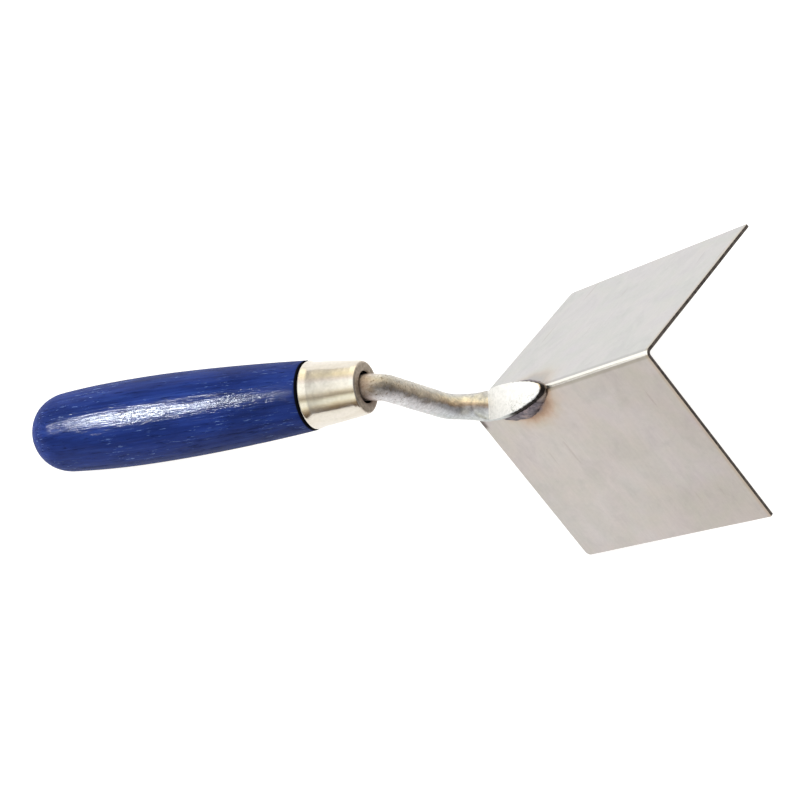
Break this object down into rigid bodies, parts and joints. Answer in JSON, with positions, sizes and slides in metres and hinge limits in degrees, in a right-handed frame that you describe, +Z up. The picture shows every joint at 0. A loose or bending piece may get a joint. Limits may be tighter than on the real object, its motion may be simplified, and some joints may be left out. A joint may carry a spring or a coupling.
{
  "type": "corner trowel",
  "caption": "Corner trowel: a right-angle folded steel blade welded along its ridge to a bent rod shank, with a ferruled and blue-lacquered wooden handle.",
  "frame": {"origin": "on the surface the tool lies on, under the centre of its bounding box", "axes": "+X from the handle's butt towards the blade, +Y across the blade, +Z up with the tool lying on the handle's butt and the blade's rear corners, its nose raised"},
  "size_m": [0.2136, 0.0848, 0.0897],
  "materials": {
    "blade_sheet": "finely brushed bare stainless sheet, faint clouding and hairline scratches",
    "shank_steel": "bare drawn rod with brown heat tint at both bends, foot ground bright",
    "weld_metal": "rippled weld metal, grey-violet with straw heat tint",
    "ferrule_plate": "bright plated, warm nickel tone",
    "handle_wood": "deep blue gloss lacquer over open-grained wood",
    "adhesive": "cured resin, hidden"
  },
  "bodies": {
    "root": {"blade": "blade_sheet", "shank": "shank_steel", "weld_bead_left": "weld_metal", "weld_bead_right": "weld_metal", "ferrule": "ferrule_plate", "handle": "handle_wood", "tang_adhesive": "adhesive"}
  },
  "joints": []
}
